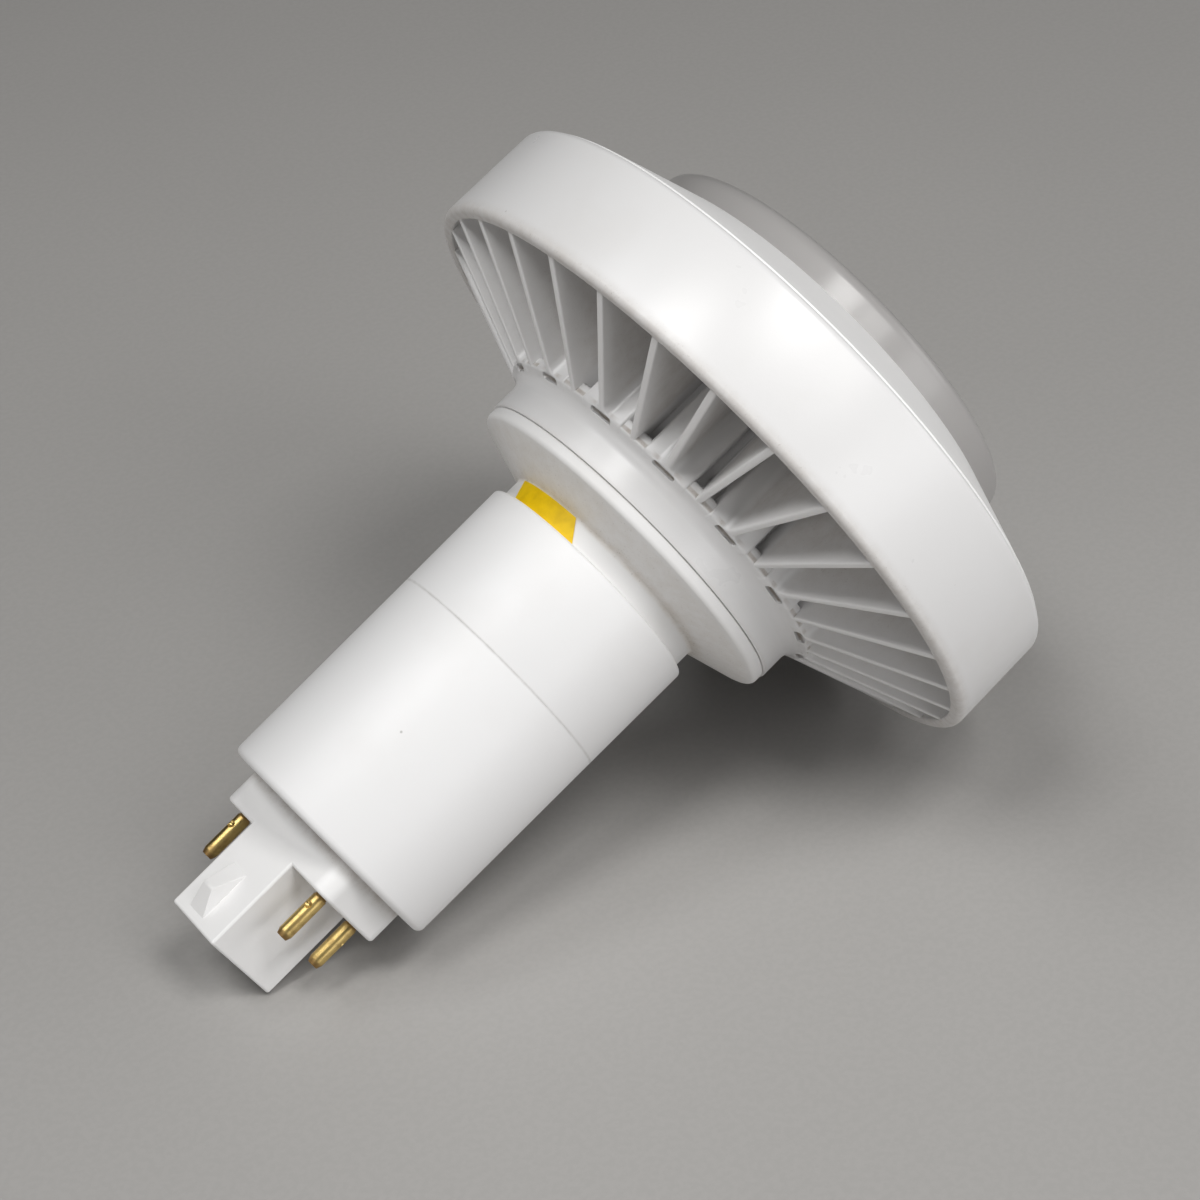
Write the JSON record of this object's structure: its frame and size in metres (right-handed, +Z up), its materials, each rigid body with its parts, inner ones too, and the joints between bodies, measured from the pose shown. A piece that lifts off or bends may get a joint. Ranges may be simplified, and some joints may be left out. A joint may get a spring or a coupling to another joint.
{
  "type": "four-pin plug-in LED lamp",
  "caption": "Plug-in LED lamp with a keyed cap and brass contact pins, a round driver housing, a rotating flange and a wide finned heat sink that carries a coned front and a clear lens.",
  "frame": {"origin": "centre of the bounding box's bottom face: the lamp lies on a table, on the ring's rear edge and the cap post's lower edge", "axes": "+Z up; +X level, from the cap towards the lens; the lamp's own axis rises 24.8 degrees above +X; Y across the lamp, along the line between the two pairs of pins"},
  "size_m": [0.1362, 0.1094, 0.1066],
  "materials": {
    "cap_plastic": "satin, slightly yellowed white",
    "housing_plastic": "satin white",
    "flange_plastic": "satin white with dust",
    "coated_aluminium": "white powder coat, satin",
    "bezel_plastic": "satin white",
    "lens_plastic": "clear, slightly grey",
    "seal_rubber": "matte",
    "pad_grey": "matte",
    "board_white": "white solder mask",
    "chip_phosphor": "matte",
    "connector_plastic": "matte",
    "screw_steel": "plain",
    "board_green": "solder mask",
    "ferrite": "dull",
    "film_resin": "dipped",
    "component_black": "matte",
    "wire_insulation": "matte",
    "label_yellow": "matte film",
    "pin_brass": "tarnished"
  },
  "bodies": {
    "root": {"cap_body": "cap_plastic", "lower_housing": "housing_plastic", "upper_housing": "housing_plastic", "neck_flange": "flange_plastic", "heat_sink": "coated_aluminium", "front_bezel": "bezel_plastic", "lens": "lens_plastic", "lens_seal": "seal_rubber", "thermal_pad": "pad_grey", "led_board": "board_white", "led_chips": "chip_phosphor", "wire_connector": "connector_plastic", "flange_screws": "screw_steel", "board_screws": "screw_steel", "driver_board": "board_green", "transformer": "ferrite", "film_capacitor": "film_resin", "line_inductor": "ferrite", "rectifier": "component_black", "input_wires": "wire_insulation", "output_wires": "wire_insulation", "yellow_label": "label_yellow", "contact_pin_1": "pin_brass", "contact_pin_2": "pin_brass", "contact_pin_3": "pin_brass", "contact_pin_4": "pin_brass", "electrolytic_capacitor_1": "component_black", "electrolytic_capacitor_2": "component_black"}
  },
  "joints": []
}
